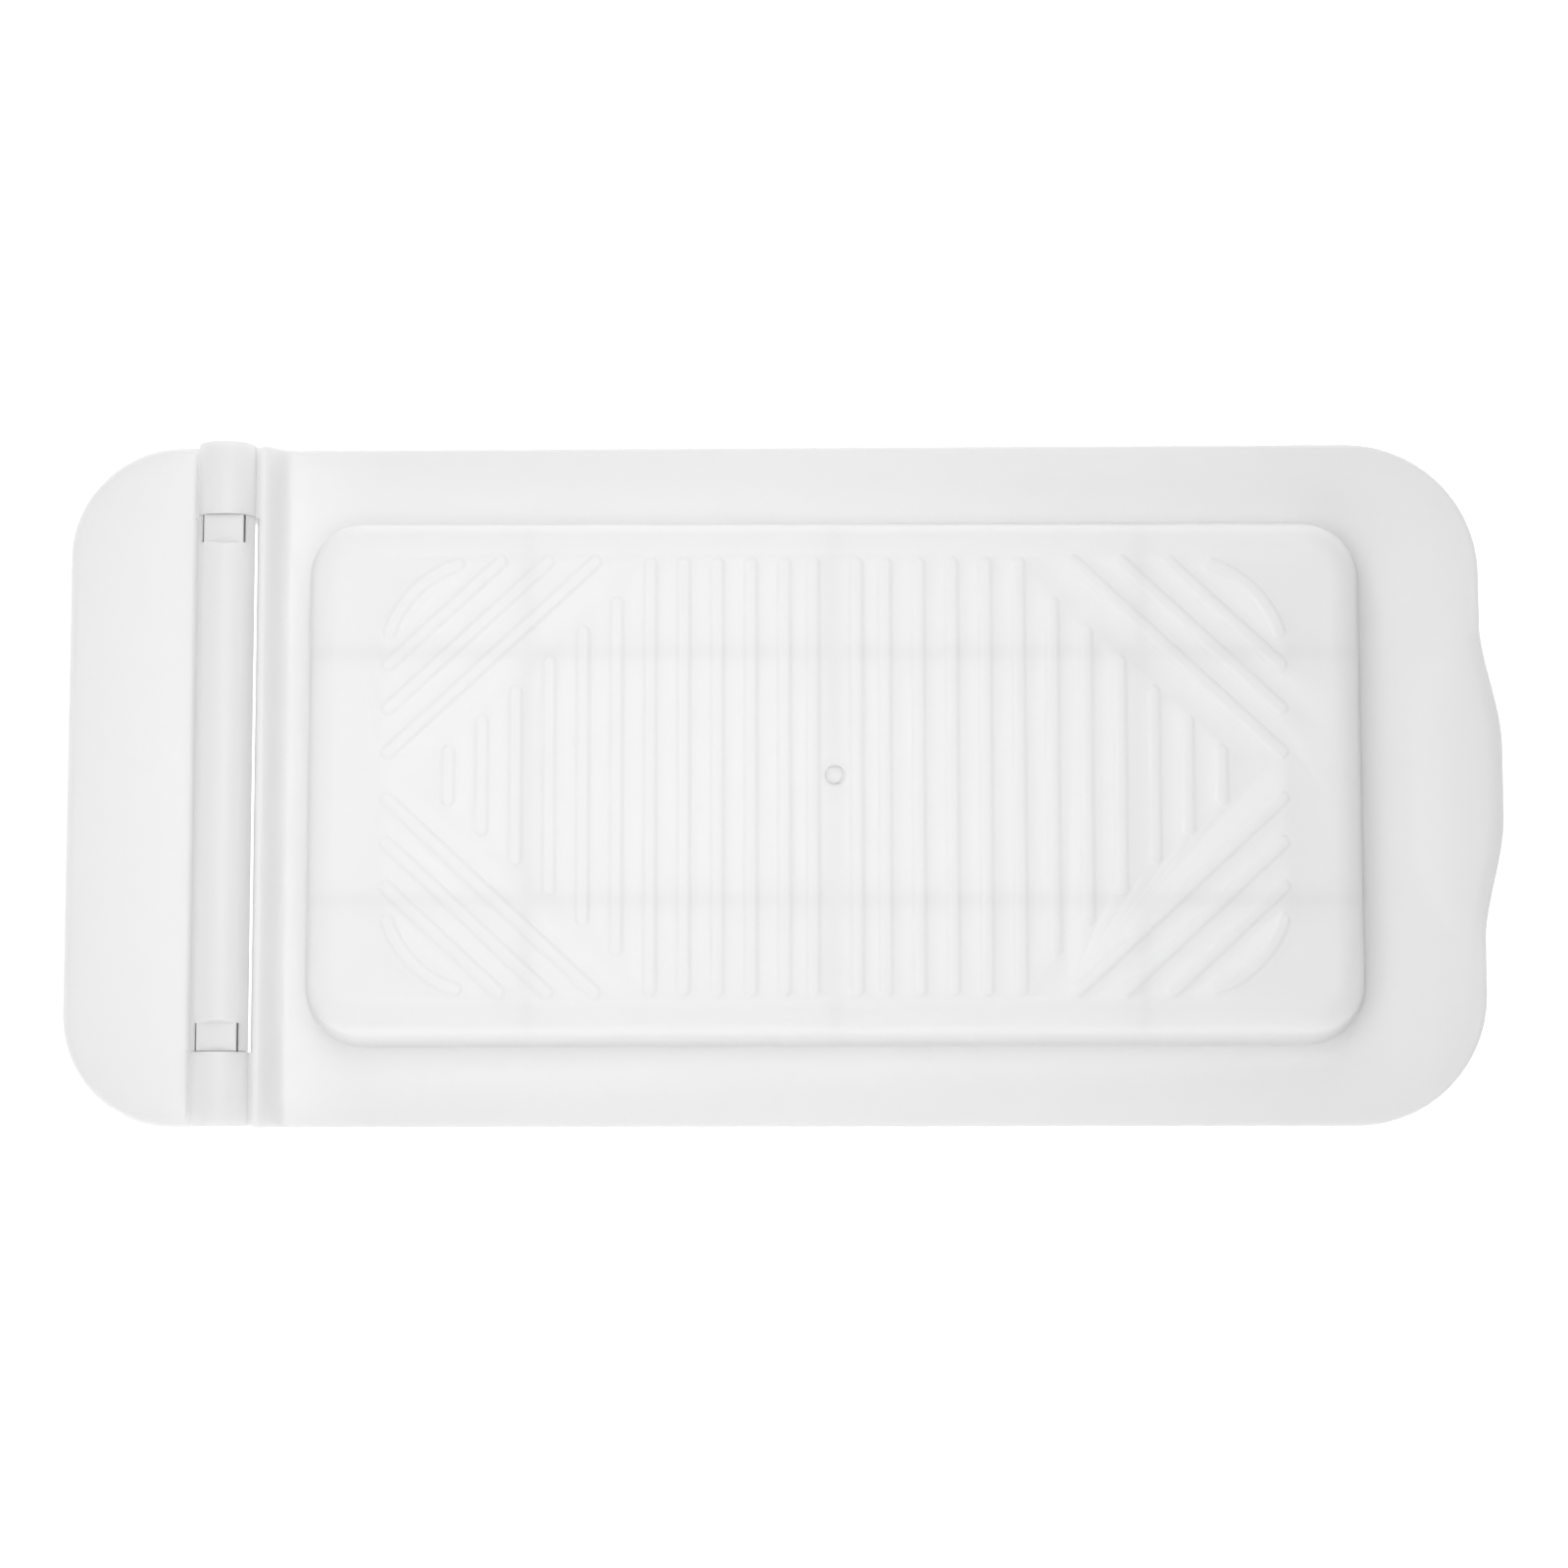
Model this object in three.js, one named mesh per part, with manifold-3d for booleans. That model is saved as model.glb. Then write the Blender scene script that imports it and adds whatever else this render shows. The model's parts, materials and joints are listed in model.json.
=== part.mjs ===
// A hinged counting tray, moulded in white plastic: a ribbed platform on a shallow flange with a
// finger grip at one end, and at the other end a flap that folds up on two short hinge pins.
// Millimetres. +X points at the finger grip, +Y at the far long side, +Z up; Z = 0 is the table.

import * as THREE from 'three';
import { mergeVertices } from 'three/addons/utils/BufferGeometryUtils.js';
import Module from 'manifold-3d';

const wasm = await Module();
wasm.setup();

// ---- Driving dimensions ----

const TRAY_LENGTH = 250;
const TRAY_WIDTH = 119.4;
const TRAY_HEIGHT = 20;
const WALL = 2;
const GAP = 0.3; // between two pieces that meet
const EDGE_ROUND = 0.7;

// Flange: a thin sheet that climbs gently toward the grip, with a skirt down to the table.
const FLANGE_LOW = 2.9; // top of the sheet below the hinge axis
const FLANGE_HIGH = 8.9; // top of the sheet at the grip
const BODY_CORNER = 23;

// Finger grip: the end edge bulges out and carries a low convex pad.
const GRIP_BULGE = 3.2;
const GRIP_FOOT = 28; // half of the length that bulges
const GRIP_CREST = 6; // half of the length that bulges fully
const PAD_HEIGHT = 2.2;
const PAD_REACH = 15.5; // from the grip's end back toward the platform
const PAD_CREST = 2.5; // how far the pad's highest point lies from the grip's end

// Platform: a raised box with drafted walls and a large fillet round its top.
const PLATFORM_X = 8.8;
const PLATFORM_HALF_LENGTH = 91.8;
const PLATFORM_HALF_WIDTH = 45.6;
const PLATFORM_CORNER = 10.5;
const PLATFORM_DRAFT = 1.5;
const PLATFORM_FILLET = 5.5;

// Ribs on the platform.
const RIB_WIDTH = 2.1;
const RIB_HEIGHT = 0.3;
const RIB_PITCH = 5.73;
const RIBS_PER_HALF = 12;
const LONG_RIBS_PER_HALF = 6;
const RIB_GATE_OFFSET = 3.75; // the two middle ribs stand apart to pass the gate mark
const PATTERN_HALF_LENGTH = 77;
const PATTERN_HALF_WIDTH = 37.5;
const RIB_SHORTENING = 5.12; // each outer rib's half length is this much less than the last
const DIAGONALS_PER_CORNER = 3;
const DIAGONAL_FOOT = 40.2; // where a corner's longest diagonal starts on the long side
const DIAGONAL_STEP = 8.1;
const DIAGONAL_SLOPE = 0.93;
const ARC_RIB_RADIUS = 18;
const ARC_RIB_CENTRE = new THREE.Vector2(58.9, 19.2);
const ARC_RIB_HALF_ANGLE = THREE.MathUtils.degToRad(27);
const GATE_RADIUS = 1.75;
const GATE_DEPTH = 0.2;

// Stiffeners under the platform.
const STIFFENER_WIDTH = 2;
const STIFFENER_DEPTH = 3;
const LONG_STIFFENER_Y = 21.2;
const CROSS_STIFFENER_STEP = 52.4;

// Hinge.
const HINGE_X = -97.2;
const HINGE_Z = 8.1;
const BARREL_RADIUS = 4.9;
const KNUCKLE_LENGTH = 12.8;
const KNUCKLE_END = 59.4; // outer end of each knuckle, from the middle of the tray
const PIN_RADIUS = 2.6;
const PIN_CLEARANCE = 0.3;
const PIN_CHAMFER = 0.6;
const PIN_RECESS = 0.5; // how far the pin's outer end sits inside the knuckle's end
const PIN_BEARING = 9.5; // length of pin held inside the flap's barrel
const TONGUE_LENGTH = 4.9; // two slits free a springy tongue at each end of the flap's barrel
const TONGUE_HALF_WIDTH = 3.4;
const TONGUE_CROWN = 4.1; // height of the tongue's top above the hinge axis
const TONGUE_CURVE = 12; // radius of the tongue's top
const SLIT_WIDTH = 0.4;

// Lip along the flange beside the hinge.
const LIP_HEIGHT = 4.5;
const LIP_WIDTH = 3;
const LIP_FOOT = 2; // width of its sloping side
const WEB_DROP = 0.1; // how far the webs under the knuckles stop short of the lip's top

// Flap.
const FLAP_TOP = 6.5;
const FLAP_CORNER = 19.7;
const FLAP_EDGE_ROUND = 2.2;

// ---- Worked out from the driving dimensions ----

const HALF_LENGTH = TRAY_LENGTH / 2;
const HALF_WIDTH = TRAY_WIDTH / 2;
const BODY_LEFT = HINGE_X + BARREL_RADIUS + GAP;
const BODY_RIGHT = HALF_LENGTH - GRIP_BULGE;
const KNUCKLE_START = KNUCKLE_END - KNUCKLE_LENGTH;
const FLAP_BARREL_END = KNUCKLE_START - GAP;
const TONGUE_START = KNUCKLE_START - TONGUE_LENGTH;
const FLAP_RIGHT = HINGE_X - BARREL_RADIUS - GAP;
const FLAP_UNDERSIDE = FLAP_TOP - WALL;
const BORE_RADIUS = PIN_RADIUS + PIN_CLEARANCE;
const BELOW_TABLE = -1; // where cuts that open onto the table start
const SINK = WALL / 2; // how deep added shapes reach into the sheet that carries them

const BARREL_SEGMENTS = 36;
const CORNER_SEGMENTS = 9;
const FILLET_SEGMENTS = 4;
const EDGE_SEGMENTS = 2;
const RIB_END_SEGMENTS = 4;
const GRIP_STEPS = 20;
const PAD_SEGMENTS = 14;
const GATE_SEGMENTS = 24;
const MERGE_TOLERANCE = 1e-5;

const BODY_ROUGHNESS = 0.4;
const PIN_ROUGHNESS = 0.35;

function flangeTop(x) {
  const climb = (x - HINGE_X) / (HALF_LENGTH - HINGE_X);
  return FLANGE_LOW + (FLANGE_HIGH - FLANGE_LOW) * climb;
}

function gripBulge(y) {
  const rise = THREE.MathUtils.smoothstep(GRIP_FOOT - Math.abs(y), 0, GRIP_FOOT - GRIP_CREST);
  return GRIP_BULGE * rise;
}

// ---- Solids ----

function toSolid(geometry) {
  const bare = geometry.clone();
  bare.deleteAttribute('normal');
  bare.deleteAttribute('uv');
  const merged = mergeVertices(bare, MERGE_TOLERANCE);
  const vertProperties = new Float32Array(merged.attributes.position.array);
  const triVerts = new Uint32Array(merged.index.array);
  return new wasm.Manifold(new wasm.Mesh({ numProp: 3, vertProperties, triVerts }));
}

function toGeometry(solid) {
  const mesh = solid.getMesh();
  const geometry = new THREE.BufferGeometry();
  geometry.setAttribute('position', new THREE.BufferAttribute(mesh.vertProperties, 3));
  geometry.setIndex(new THREE.BufferAttribute(mesh.triVerts, 1));
  geometry.computeVertexNormals();
  return geometry;
}

function joined(solids) {
  return solids.reduce((whole, solid) => whole.add(solid));
}

// A closed solid through a stack of rings, lowest first. Every ring runs anticlockwise seen from
// above and has the same number of points; a fan closes each end.
function stackedRings(rings) {
  const count = rings[0].length;
  const points = rings.flat();
  const lowest = points.length;
  const highest = lowest + 1;
  for (const ring of [rings[0], rings[rings.length - 1]]) {
    const middle = new THREE.Vector3();
    ring.forEach((point) => middle.addScaledVector(point, 1 / count));
    points.push(middle);
  }
  const triangles = [];
  const lastRing = (rings.length - 1) * count;
  for (let i = 0; i < count; i += 1) {
    const next = (i + 1) % count;
    triangles.push(lowest, next, i);
    triangles.push(highest, lastRing + i, lastRing + next);
    for (let start = 0; start < lastRing; start += count) {
      const above = start + count;
      triangles.push(start + i, start + next, above + next);
      triangles.push(start + i, above + next, above + i);
    }
  }
  const geometry = new THREE.BufferGeometry().setFromPoints(points);
  geometry.setIndex(triangles);
  return toSolid(geometry);
}

// Steps of a rounded top edge: how far the ring has moved in, and how far below the top it is.
function roundedEdge(radius, segments) {
  const steps = [];
  for (let i = 0; i <= segments; i += 1) {
    const angle = (i / segments) * (Math.PI / 2);
    steps.push({ inset: radius * (1 - Math.cos(angle)), drop: radius * (1 - Math.sin(angle)) });
  }
  return steps;
}

function box(xMin, xMax, yMin, yMax, zMin, zMax) {
  const geometry = new THREE.BoxGeometry(xMax - xMin, yMax - yMin, zMax - zMin);
  geometry.translate((xMin + xMax) / 2, (yMin + yMax) / 2, (zMin + zMax) / 2);
  return toSolid(geometry);
}

// A solid of revolution about the hinge axis. The profile lists [radius, y] from low y to high y.
function turnedOnHinge(profile) {
  const points = profile.map(([radius, y]) => new THREE.Vector2(radius, y));
  const geometry = new THREE.LatheGeometry(points, BARREL_SEGMENTS);
  geometry.translate(HINGE_X, 0, HINGE_Z);
  return toSolid(geometry);
}

function hingeCylinder(radius, yMin, yMax) {
  return turnedOnHinge([[0, yMin], [radius, yMin], [radius, yMax], [0, yMax]]);
}

function mirroredInY(solid) {
  return solid.mirror([0, 1, 0]);
}

// ---- Tray body ----

// The flange's outline moved in by inset, at the height that heightAt gives for each x.
function flangeRing(inset, heightAt) {
  const left = BODY_LEFT + inset;
  const right = BODY_RIGHT - inset;
  const half = HALF_WIDTH - inset;
  const radius = BODY_CORNER - inset;
  const path = new THREE.Path();
  path.moveTo(left, -half);
  path.lineTo(right - radius, -half);
  path.absarc(right - radius, -half + radius, radius, -Math.PI / 2, 0);
  for (let i = 1; i < GRIP_STEPS; i += 1) {
    const y = THREE.MathUtils.lerp(radius - half, half - radius, i / GRIP_STEPS);
    path.lineTo(right + gripBulge(y), y);
  }
  path.lineTo(right, half - radius);
  path.absarc(right - radius, half - radius, radius, 0, Math.PI / 2);
  path.lineTo(left, half);
  return path.getPoints(CORNER_SEGMENTS).map(({ x, y }) => new THREE.Vector3(x, y, heightAt(x)));
}

function flangeOuter() {
  const rings = [flangeRing(0, () => 0)];
  for (const { inset, drop } of roundedEdge(EDGE_ROUND, EDGE_SEGMENTS)) {
    rings.push(flangeRing(inset, (x) => flangeTop(x) - drop));
  }
  return stackedRings(rings);
}

function flangeHollow() {
  return stackedRings([
    flangeRing(WALL, () => BELOW_TABLE),
    flangeRing(WALL, (x) => Math.max(flangeTop(x) - WALL, BELOW_TABLE + GAP)),
  ]);
}

function platformRing(inset, z) {
  const halfLength = PLATFORM_HALF_LENGTH - inset;
  const halfWidth = PLATFORM_HALF_WIDTH - inset;
  const radius = PLATFORM_CORNER - inset;
  const path = new THREE.Path();
  for (let corner = 0; corner < 4; corner += 1) {
    const start = (corner * Math.PI) / 2 - Math.PI / 2;
    const middle = start + Math.PI / 4;
    const x = PLATFORM_X + Math.sign(Math.cos(middle)) * (halfLength - radius);
    const y = Math.sign(Math.sin(middle)) * (halfWidth - radius);
    path.absarc(x, y, radius, start, start + Math.PI / 2);
  }
  return path.getPoints(CORNER_SEGMENTS).map((point) => new THREE.Vector3(point.x, point.y, z));
}

// The platform's outer form, or with wall set, the hollow that leaves that wall inside it.
function platformForm(wall, base) {
  const rings = [platformRing(wall, base)];
  const top = TRAY_HEIGHT - wall;
  for (const { inset, drop } of roundedEdge(PLATFORM_FILLET - wall, FILLET_SEGMENTS)) {
    rings.push(platformRing(wall + PLATFORM_DRAFT + inset, top - drop));
  }
  return stackedRings(rings);
}

// An outline in plan, standing on the platform and sunk a little way into it.
function raisedOnPlatform(shape) {
  const depth = RIB_HEIGHT + SINK;
  const settings = { depth, bevelEnabled: false, curveSegments: RIB_END_SEGMENTS };
  const geometry = new THREE.ExtrudeGeometry(shape, settings);
  geometry.translate(PLATFORM_X, 0, TRAY_HEIGHT - SINK);
  return toSolid(geometry);
}

// A straight rib with round ends, between the two points that its ends reach.
function straightRib(from, to) {
  const radius = RIB_WIDTH / 2;
  const along = to.clone().sub(from);
  const angle = along.angle();
  const inward = along.normalize().multiplyScalar(radius);
  const start = from.clone().add(inward);
  const end = to.clone().sub(inward);
  const shape = new THREE.Shape();
  shape.absarc(start.x, start.y, radius, angle + Math.PI / 2, angle + 1.5 * Math.PI);
  shape.absarc(end.x, end.y, radius, angle - Math.PI / 2, angle + Math.PI / 2);
  return raisedOnPlatform(shape);
}

// The curved rib that rounds off one corner of the pattern. signX and signY pick the corner.
function cornerRib(signX, signY) {
  const radius = RIB_WIDTH / 2;
  const centreX = signX * ARC_RIB_CENTRE.x;
  const centreY = signY * ARC_RIB_CENTRE.y;
  const middle = Math.atan2(signY, signX);
  const first = middle - ARC_RIB_HALF_ANGLE;
  const last = middle + ARC_RIB_HALF_ANGLE;
  const endX = centreX + ARC_RIB_RADIUS * Math.cos(last);
  const endY = centreY + ARC_RIB_RADIUS * Math.sin(last);
  const startX = centreX + ARC_RIB_RADIUS * Math.cos(first);
  const startY = centreY + ARC_RIB_RADIUS * Math.sin(first);
  const shape = new THREE.Shape();
  shape.absarc(centreX, centreY, ARC_RIB_RADIUS + radius, first, last);
  shape.absarc(endX, endY, radius, last, last + Math.PI);
  shape.absarc(centreX, centreY, ARC_RIB_RADIUS - radius, last, first, true);
  shape.absarc(startX, startY, radius, first - Math.PI, first);
  return raisedOnPlatform(shape);
}

function crossRibs() {
  const ribs = [];
  for (let i = 0; i < RIBS_PER_HALF; i += 1) {
    const offset = i === 0 ? RIB_GATE_OFFSET : (i + 0.5) * RIB_PITCH;
    const isLong = i < LONG_RIBS_PER_HALF;
    const reach = isLong ? PATTERN_HALF_WIDTH : RIB_SHORTENING * (RIBS_PER_HALF - i);
    for (const x of [-offset, offset]) {
      ribs.push(straightRib(new THREE.Vector2(x, -reach), new THREE.Vector2(x, reach)));
    }
  }
  return ribs;
}

function cornerRibs() {
  const ribs = [];
  for (const signX of [-1, 1]) {
    for (const signY of [-1, 1]) {
      for (let i = 0; i < DIAGONALS_PER_CORNER; i += 1) {
        const footX = DIAGONAL_FOOT + i * DIAGONAL_STEP;
        const headY = PATTERN_HALF_WIDTH - (PATTERN_HALF_LENGTH - footX) * DIAGONAL_SLOPE;
        const foot = new THREE.Vector2(signX * footX, signY * PATTERN_HALF_WIDTH);
        const head = new THREE.Vector2(signX * PATTERN_HALF_LENGTH, signY * headY);
        ribs.push(straightRib(foot, head));
      }
      ribs.push(cornerRib(signX, signY));
    }
  }
  return ribs;
}

// The stiffeners run from wall to wall under the platform's top sheet.
function stiffeners() {
  const half = STIFFENER_WIDTH / 2;
  const zMin = TRAY_HEIGHT - WALL - STIFFENER_DEPTH;
  const zMax = TRAY_HEIGHT - SINK;
  const bars = [];
  for (const y of [-LONG_STIFFENER_Y, LONG_STIFFENER_Y]) {
    const xMin = PLATFORM_X - PLATFORM_HALF_LENGTH;
    const xMax = PLATFORM_X + PLATFORM_HALF_LENGTH;
    bars.push(box(xMin, xMax, y - half, y + half, zMin, zMax));
  }
  for (const step of [-1, 0, 1]) {
    const x = PLATFORM_X + step * CROSS_STIFFENER_STEP;
    bars.push(box(x - half, x + half, -PLATFORM_HALF_WIDTH, PLATFORM_HALF_WIDTH, zMin, zMax));
  }
  return joined(bars).intersect(platformForm(WALL / 2, 0));
}

// The finger pad: a D in plan, swollen toward its middle, on the flange behind the bulging edge.
function gripPad() {
  const rings = [];
  for (const { inset, drop } of roundedEdge(1, FILLET_SEGMENTS)) {
    const scale = 1 - inset;
    const ring = [];
    for (let i = 0; i <= PAD_SEGMENTS; i += 1) {
      const y = THREE.MathUtils.lerp(-GRIP_FOOT, GRIP_FOOT, i / PAD_SEGMENTS) * scale;
      const edge = BODY_RIGHT + gripBulge(y) - EDGE_ROUND;
      const x = edge - PAD_CREST * inset;
      ring.push(new THREE.Vector3(x, y, flangeTop(x) + PAD_HEIGHT * (1 - drop)));
    }
    for (let i = 1; i < PAD_SEGMENTS; i += 1) {
      const angle = (i / PAD_SEGMENTS) * Math.PI;
      const y = GRIP_FOOT * scale * Math.cos(angle);
      const edge = BODY_RIGHT - EDGE_ROUND - PAD_CREST * inset;
      const x = edge - (PAD_REACH - GRIP_BULGE) * scale * Math.sin(angle);
      ring.push(new THREE.Vector3(x, y, flangeTop(x) + PAD_HEIGHT * (1 - drop)));
    }
    rings.push(ring);
  }
  rings.pop();
  const base = rings[0].map(({ x, y }) => new THREE.Vector3(x, y, flangeTop(x) - SINK));
  return stackedRings([base, ...rings]);
}

// The lip's section, seen along the hinge: upright beside the barrel, sloping to the flange.
function hingeLip() {
  const base = flangeTop(BODY_LEFT) - SINK;
  const top = FLANGE_LOW + LIP_HEIGHT;
  const round = LIP_WIDTH / 3;
  const section = new THREE.Shape();
  section.moveTo(BODY_LEFT, -base);
  section.lineTo(BODY_LEFT, round - top);
  section.quadraticCurveTo(BODY_LEFT, -top, BODY_LEFT + round, -top);
  section.lineTo(BODY_LEFT + 2 * round, -top);
  const foot = BODY_LEFT + LIP_WIDTH + LIP_FOOT;
  section.bezierCurveTo(BODY_LEFT + LIP_WIDTH, -top, BODY_LEFT + LIP_WIDTH, -base, foot, -base);
  const depth = 2 * KNUCKLE_END;
  const settings = { depth, bevelEnabled: false, curveSegments: FILLET_SEGMENTS };
  const geometry = new THREE.ExtrudeGeometry(section, settings);
  geometry.translate(0, 0, -depth / 2);
  geometry.rotateX(-Math.PI / 2);
  return toSolid(geometry);
}

// One knuckle of the body: a barrel on a web that ties it to the flange.
function farKnuckle() {
  const barrel = hingeCylinder(BARREL_RADIUS, KNUCKLE_START, KNUCKLE_END);
  const webRight = BODY_LEFT + LIP_WIDTH;
  const webTop = FLANGE_LOW + LIP_HEIGHT - WEB_DROP;
  const web = box(HINGE_X, webRight, KNUCKLE_START, KNUCKLE_END, 0, webTop);
  const pinHole = hingeCylinder(PIN_RADIUS + GAP, KNUCKLE_START - WALL, KNUCKLE_END + WALL);
  return barrel.add(web).subtract(pinHole);
}

function gateMark() {
  const geometry = new THREE.CylinderGeometry(
    GATE_RADIUS, GATE_RADIUS, 2 * GATE_DEPTH, GATE_SEGMENTS,
  );
  geometry.rotateX(Math.PI / 2);
  geometry.translate(PLATFORM_X, 0, TRAY_HEIGHT);
  return toSolid(geometry);
}

function trayBody() {
  const outside = joined([flangeOuter(), platformForm(0, 0), gripPad(), hingeLip()]);
  const hollow = flangeHollow().add(platformForm(WALL, BELOW_TABLE));
  const shell = outside.subtract(hollow).subtract(gateMark());
  const knuckle = farKnuckle();
  const ribs = [...crossRibs(), ...cornerRibs()];
  return joined([shell, stiffeners(), knuckle, mirroredInY(knuckle), ...ribs]);
}

// ---- End flap ----

// The flap's outline moved in by inset on its three free sides; hingeEdge is its fourth side.
function flapRing(inset, z, hingeEdge) {
  const left = inset - HALF_LENGTH;
  const half = HALF_WIDTH - inset;
  const radius = FLAP_CORNER - inset;
  const path = new THREE.Path();
  path.moveTo(hingeEdge, half);
  path.absarc(left + radius, half - radius, radius, Math.PI / 2, Math.PI);
  path.absarc(left + radius, radius - half, radius, Math.PI, 1.5 * Math.PI);
  path.lineTo(hingeEdge, -half);
  return path.getPoints(CORNER_SEGMENTS).map((point) => new THREE.Vector3(point.x, point.y, z));
}

function flapPlate() {
  const rings = [flapRing(0, 0, FLAP_RIGHT)];
  for (const { inset, drop } of roundedEdge(FLAP_EDGE_ROUND, FILLET_SEGMENTS)) {
    rings.push(flapRing(inset, FLAP_TOP - drop, FLAP_RIGHT));
  }
  const beyondHinge = FLAP_RIGHT + WALL;
  const hollow = stackedRings([
    flapRing(WALL, BELOW_TABLE, beyondHinge),
    flapRing(WALL, FLAP_UNDERSIDE, beyondHinge),
  ]);
  return stackedRings(rings).subtract(hollow);
}

// The cuts at one end of the flap's barrel: the pin's bore, the two slits that free the tongue, and
// the shallow step down to the tongue's flatter top.
function farBarrelCut() {
  const open = FLAP_BARREL_END + WALL;
  const bore = hingeCylinder(BORE_RADIUS, FLAP_BARREL_END - PIN_BEARING, open);
  const outer = TONGUE_HALF_WIDTH + SLIT_WIDTH;
  const top = HINGE_Z + 2 * BARREL_RADIUS;
  const slits = [-outer, TONGUE_HALF_WIDTH].map((left) => {
    const x = HINGE_X + left;
    return box(x, x + SLIT_WIDTH, TONGUE_START, open, HINGE_Z, top);
  });
  const left = HINGE_X - TONGUE_HALF_WIDTH;
  const right = HINGE_X + TONGUE_HALF_WIDTH;
  const tongue = hingeCylinder(TONGUE_CURVE, TONGUE_START - WALL, open + WALL);
  const lowered = tongue.translate([0, 0, TONGUE_CROWN - TONGUE_CURVE]);
  const step = box(left, right, TONGUE_START, open, HINGE_Z, top).subtract(lowered);
  return joined([bore, ...slits, step]);
}

function endFlap() {
  const barrel = hingeCylinder(BARREL_RADIUS, -FLAP_BARREL_END, FLAP_BARREL_END);
  const rootLeft = FLAP_RIGHT - WALL;
  const rootHalf = FLAP_BARREL_END;
  const root = box(rootLeft, HINGE_X, -rootHalf, rootHalf, FLAP_UNDERSIDE, FLAP_TOP);
  const cut = farBarrelCut();
  return joined([flapPlate(), root, barrel]).subtract(cut).subtract(mirroredInY(cut));
}

// ---- Hinge pins ----

function farHingePin() {
  const inner = FLAP_BARREL_END - PIN_BEARING + GAP;
  const outer = KNUCKLE_END - PIN_RECESS;
  return turnedOnHinge([
    [0, inner],
    [PIN_RADIUS - PIN_CHAMFER, inner],
    [PIN_RADIUS, inner + PIN_CHAMFER],
    [PIN_RADIUS, outer - PIN_CHAMFER],
    [PIN_RADIUS - PIN_CHAMFER, outer],
    [0, outer],
  ]);
}

// ---- The tray ----

function whitePlastic(roughness) {
  return new THREE.MeshStandardMaterial({ color: 0xeeeeec, roughness, metalness: 0 });
}

function piece(name, solid, material) {
  const mesh = new THREE.Mesh(toGeometry(solid), material);
  mesh.name = name;
  return mesh;
}

const pin = farHingePin();
const tray = new THREE.Group();
tray.add(
  piece('tray_body', trayBody(), whitePlastic(BODY_ROUGHNESS)),
  piece('end_flap', endFlap(), whitePlastic(BODY_ROUGHNESS)),
  piece('hinge_pin_far', pin, whitePlastic(PIN_ROUGHNESS)),
  piece('hinge_pin_near', mirroredInY(pin), whitePlastic(PIN_ROUGHNESS)),
);

export default tray;
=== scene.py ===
import json
import math

import bpy
import numpy as np
from mathutils import Matrix, Vector


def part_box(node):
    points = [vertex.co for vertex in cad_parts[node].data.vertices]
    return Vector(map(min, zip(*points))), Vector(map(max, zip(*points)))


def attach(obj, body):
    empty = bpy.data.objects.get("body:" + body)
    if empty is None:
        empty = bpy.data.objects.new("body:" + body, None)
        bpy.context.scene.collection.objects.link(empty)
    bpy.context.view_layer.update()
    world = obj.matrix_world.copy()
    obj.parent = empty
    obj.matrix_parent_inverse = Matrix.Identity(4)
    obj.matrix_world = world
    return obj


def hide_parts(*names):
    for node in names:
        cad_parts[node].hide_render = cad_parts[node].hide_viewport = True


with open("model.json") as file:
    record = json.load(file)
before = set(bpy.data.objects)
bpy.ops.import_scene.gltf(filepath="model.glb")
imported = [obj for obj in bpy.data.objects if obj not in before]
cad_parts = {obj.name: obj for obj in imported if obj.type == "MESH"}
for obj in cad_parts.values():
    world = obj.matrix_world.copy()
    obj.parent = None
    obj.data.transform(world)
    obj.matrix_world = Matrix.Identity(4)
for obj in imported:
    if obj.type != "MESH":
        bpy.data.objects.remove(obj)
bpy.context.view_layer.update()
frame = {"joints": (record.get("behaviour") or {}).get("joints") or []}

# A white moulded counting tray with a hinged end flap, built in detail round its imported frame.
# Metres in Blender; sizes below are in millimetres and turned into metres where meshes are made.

MM = 0.001
QUARTER = math.pi / 2

# ---- Sizes taken from the frame ----


def node_box(node):
    """A CAD node's lowest and highest corners in millimetres."""
    low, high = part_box(node)
    return np.array(low) / MM, np.array(high) / MM


BODY_LOW, BODY_HIGH = node_box("tray_body")
FLAP_LOW, FLAP_HIGH = node_box("end_flap")
PIN_LOW, PIN_HIGH = node_box("hinge_pin_far")
HINGE_X, _, HINGE_Z = (value / MM for value in frame["joints"][0]["pos_m"])

HALF_WIDTH = BODY_HIGH[1]
GRIP_END = BODY_HIGH[0]
RIB_TOP = BODY_HIGH[2]
BARREL_RADIUS = FLAP_HIGH[2] - HINGE_Z
PIN_RADIUS = (PIN_HIGH[2] - PIN_LOW[2]) / 2
PIN_INNER = PIN_LOW[1]
PIN_OUTER = PIN_HIGH[1]
FLAP_LEFT = FLAP_LOW[0]

# ---- Sizes of the mouldings ----

WALL = 2.0
GAP = 0.3
EDGE_ROUND = 0.8
SKIRT_ROUND = 0.25

# The flange slopes up from the hinge to the finger grip.
FLANGE_LOW = 2.9
FLANGE_HIGH = 8.9
BODY_CORNER = 23.0
HINGE_CORNER = 1.2
LEAST_CORNER = 0.2
GRIP_BULGE = 3.2
GRIP_FOOT = 28.0
GRIP_CREST = 6.0

# The finger pad's fall is a share of its height, and its three powers shape how it fades out.
PAD_HEIGHT = 2.2
PAD_REACH = 15.5
PAD_CREST = 2.5
PAD_FALL = 0.25
PAD_INWARD_POWER = 1.2
PAD_ACROSS_POWER = 3
PAD_FADE_POWER = 1.3

# The lip beside the hinge is flat on top and runs out into the flange.
LIP_HEIGHT = 4.5
LIP_FLAT = 1.2
LIP_FOOT = 5.6
LIP_SKEW = 0.8

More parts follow.
